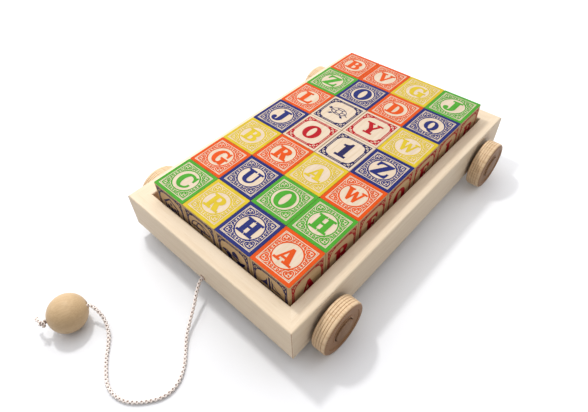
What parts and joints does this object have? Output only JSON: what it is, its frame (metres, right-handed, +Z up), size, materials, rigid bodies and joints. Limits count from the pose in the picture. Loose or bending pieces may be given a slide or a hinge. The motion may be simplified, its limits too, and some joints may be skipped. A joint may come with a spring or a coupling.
{
  "type": "pull-along block wagon",
  "caption": "Low wooden tray on four turned wheels, pulled by a cord with a ball, carrying a layer of loose cube blocks with letters in relief.",
  "frame": {"origin": "on the ground under the middle of the tray, midway between the four wheels", "axes": "+Z up, +Y towards the back, along the wagon's length, +X to the right across it; the cord leaves the front at -Y"},
  "size_m": [0.2586, 0.4821, 0.0804],
  "materials": {
    "maple_boards": "sanded, unfinished pale hardwood with fine straight grain",
    "maple_panel": "sanded pale plywood panel",
    "beech_wheels": "turned beech with short flecks, lightly waxed",
    "beech_pegs": "turned beech, end grain showing on the head",
    "beech_ball": "turned and sanded beech",
    "cotton_cord": "soft braided cotton cord",
    "basswood_blocks": "sanded basswood with raised, printed faces",
    "ink_orange": "matte non-toxic ink on wood",
    "ink_green": "matte non-toxic ink on wood",
    "ink_yellow": "matte non-toxic ink on wood",
    "ink_blue": "matte non-toxic ink on wood",
    "ink_red": "matte non-toxic ink on wood"
  },
  "bodies": {
    "root": {"front_board": "maple_boards", "back_board": "maple_boards", "left_board": "maple_boards", "right_board": "maple_boards", "floor_panel": "maple_panel", "axle_peg_front_left": "beech_pegs", "axle_peg_front_right": "beech_pegs", "axle_peg_back_left": "beech_pegs", "axle_peg_back_right": "beech_pegs", "pull_cord": "cotton_cord", "cord_inner_knot": "cotton_cord", "cord_end_knot": "cotton_cord", "cord_tail": "cotton_cord"},
    "wheel_front_left": {"wheel_front_left": "beech_wheels"},
    "wheel_front_right": {"wheel_front_right": "beech_wheels"},
    "wheel_back_left": {"wheel_back_left": "beech_wheels"},
    "wheel_back_right": {"wheel_back_right": "beech_wheels"},
    "pull_ball": {"pull_ball": "beech_ball"},
    "block_1a": {"block_1a": "basswood_blocks"},
    "block_1b": {"block_1b": "basswood_blocks"},
    "block_1c": {"block_1c": "basswood_blocks"},
    "block_1d": {"block_1d": "basswood_blocks"},
    "block_2a": {"block_2a": "basswood_blocks"},
    "block_2b": {"block_2b": "basswood_blocks"},
    "block_2c": {"block_2c": "basswood_blocks"},
    "block_2d": {"block_2d": "basswood_blocks"},
    "block_3a": {"block_3a": "basswood_blocks"},
    "block_3b": {"block_3b": "basswood_blocks"},
    "block_3c": {"block_3c": "basswood_blocks"},
    "block_3d": {"block_3d": "basswood_blocks"},
    "block_4a": {"block_4a": "basswood_blocks"},
    "block_4b": {"block_4b": "basswood_blocks"},
    "block_4c": {"block_4c": "basswood_blocks"},
    "block_4d": {"block_4d": "basswood_blocks"},
    "block_5a": {"block_5a": "basswood_blocks"},
    "block_5b": {"block_5b": "basswood_blocks"},
    "block_5c": {"block_5c": "basswood_blocks"},
    "block_5d": {"block_5d": "basswood_blocks"},
    "block_6a": {"block_6a": "basswood_blocks"},
    "block_6b": {"block_6b": "basswood_blocks"},
    "block_6c": {"block_6c": "basswood_blocks"},
    "block_6d": {"block_6d": "basswood_blocks"},
    "block_7a": {"block_7a": "basswood_blocks"},
    "block_7b": {"block_7b": "basswood_blocks"},
    "block_7c": {"block_7c": "basswood_blocks"},
    "block_7d": {"block_7d": "basswood_blocks"}
  },
  "joints": [
    {"name": "wheel_front_left_spin", "type": "hinge", "parent": "root", "child": "wheel_front_left", "pos_m": [-0.12175, -0.1315, 0.0265], "axis": [1, 0, 0], "continuous": true},
    {"name": "wheel_front_right_spin", "type": "hinge", "parent": "root", "child": "wheel_front_right", "pos_m": [0.12175, -0.1315, 0.0265], "axis": [1, 0, 0], "continuous": true},
    {"name": "wheel_back_left_spin", "type": "hinge", "parent": "root", "child": "wheel_back_left", "pos_m": [-0.12175, 0.1315, 0.0265], "axis": [1, 0, 0], "continuous": true},
    {"name": "wheel_back_right_spin", "type": "hinge", "parent": "root", "child": "wheel_back_right", "pos_m": [0.12175, 0.1315, 0.0265], "axis": [1, 0, 0], "continuous": true},
    {"name": "pull_ball_spin", "type": "hinge", "parent": "root", "child": "pull_ball", "pos_m": [-0.0695, -0.2815, 0.018], "axis": [0.3338, 0.9426, 0], "continuous": true},
    {"name": "block_1a_lift", "type": "slide", "parent": "root", "child": "block_1a", "axis": [0, 0, 1], "range_m": [0, 0.05]},
    {"name": "block_1b_lift", "type": "slide", "parent": "root", "child": "block_1b", "axis": [0, 0, 1], "range_m": [0, 0.05]},
    {"name": "block_1c_lift", "type": "slide", "parent": "root", "child": "block_1c", "axis": [0, 0, 1], "range_m": [0, 0.05]},
    {"name": "block_1d_lift", "type": "slide", "parent": "root", "child": "block_1d", "axis": [0, 0, 1], "range_m": [0, 0.05]},
    {"name": "block_2a_lift", "type": "slide", "parent": "root", "child": "block_2a", "axis": [0, 0, 1], "range_m": [0, 0.05]},
    {"name": "block_2b_lift", "type": "slide", "parent": "root", "child": "block_2b", "axis": [0, 0, 1], "range_m": [0, 0.05]},
    {"name": "block_2c_lift", "type": "slide", "parent": "root", "child": "block_2c", "axis": [0, 0, 1], "range_m": [0, 0.05]},
    {"name": "block_2d_lift", "type": "slide", "parent": "root", "child": "block_2d", "axis": [0, 0, 1], "range_m": [0, 0.05]},
    {"name": "block_3a_lift", "type": "slide", "parent": "root", "child": "block_3a", "axis": [0, 0, 1], "range_m": [0, 0.05]},
    {"name": "block_3b_lift", "type": "slide", "parent": "root", "child": "block_3b", "axis": [0, 0, 1], "range_m": [0, 0.05]},
    {"name": "block_3c_lift", "type": "slide", "parent": "root", "child": "block_3c", "axis": [0, 0, 1], "range_m": [0, 0.05]},
    {"name": "block_3d_lift", "type": "slide", "parent": "root", "child": "block_3d", "axis": [0, 0, 1], "range_m": [0, 0.05]},
    {"name": "block_4a_lift", "type": "slide", "parent": "root", "child": "block_4a", "axis": [0, 0, 1], "range_m": [0, 0.05]},
    {"name": "block_4b_lift", "type": "slide", "parent": "root", "child": "block_4b", "axis": [0, 0, 1], "range_m": [0, 0.05]},
    {"name": "block_4c_lift", "type": "slide", "parent": "root", "child": "block_4c", "axis": [0, 0, 1], "range_m": [0, 0.05]},
    {"name": "block_4d_lift", "type": "slide", "parent": "root", "child": "block_4d", "axis": [0, 0, 1], "range_m": [0, 0.05]},
    {"name": "block_5a_lift", "type": "slide", "parent": "root", "child": "block_5a", "axis": [0, 0, 1], "range_m": [0, 0.05]},
    {"name": "block_5b_lift", "type": "slide", "parent": "root", "child": "block_5b", "axis": [0, 0, 1], "range_m": [0, 0.05]},
    {"name": "block_5c_lift", "type": "slide", "parent": "root", "child": "block_5c", "axis": [0, 0, 1], "range_m": [0, 0.05]},
    {"name": "block_5d_lift", "type": "slide", "parent": "root", "child": "block_5d", "axis": [0, 0, 1], "range_m": [0, 0.05]},
    {"name": "block_6a_lift", "type": "slide", "parent": "root", "child": "block_6a", "axis": [0, 0, 1], "range_m": [0, 0.05]},
    {"name": "block_6b_lift", "type": "slide", "parent": "root", "child": "block_6b", "axis": [0, 0, 1], "range_m": [0, 0.05]},
    {"name": "block_6c_lift", "type": "slide", "parent": "root", "child": "block_6c", "axis": [0, 0, 1], "range_m": [0, 0.05]},
    {"name": "block_6d_lift", "type": "slide", "parent": "root", "child": "block_6d", "axis": [0, 0, 1], "range_m": [0, 0.05]},
    {"name": "block_7a_lift", "type": "slide", "parent": "root", "child": "block_7a", "axis": [0, 0, 1], "range_m": [0, 0.05]},
    {"name": "block_7b_lift", "type": "slide", "parent": "root", "child": "block_7b", "axis": [0, 0, 1], "range_m": [0, 0.05]},
    {"name": "block_7c_lift", "type": "slide", "parent": "root", "child": "block_7c", "axis": [0, 0, 1], "range_m": [0, 0.05]},
    {"name": "block_7d_lift", "type": "slide", "parent": "root", "child": "block_7d", "axis": [0, 0, 1], "range_m": [0, 0.05]}
  ]
}
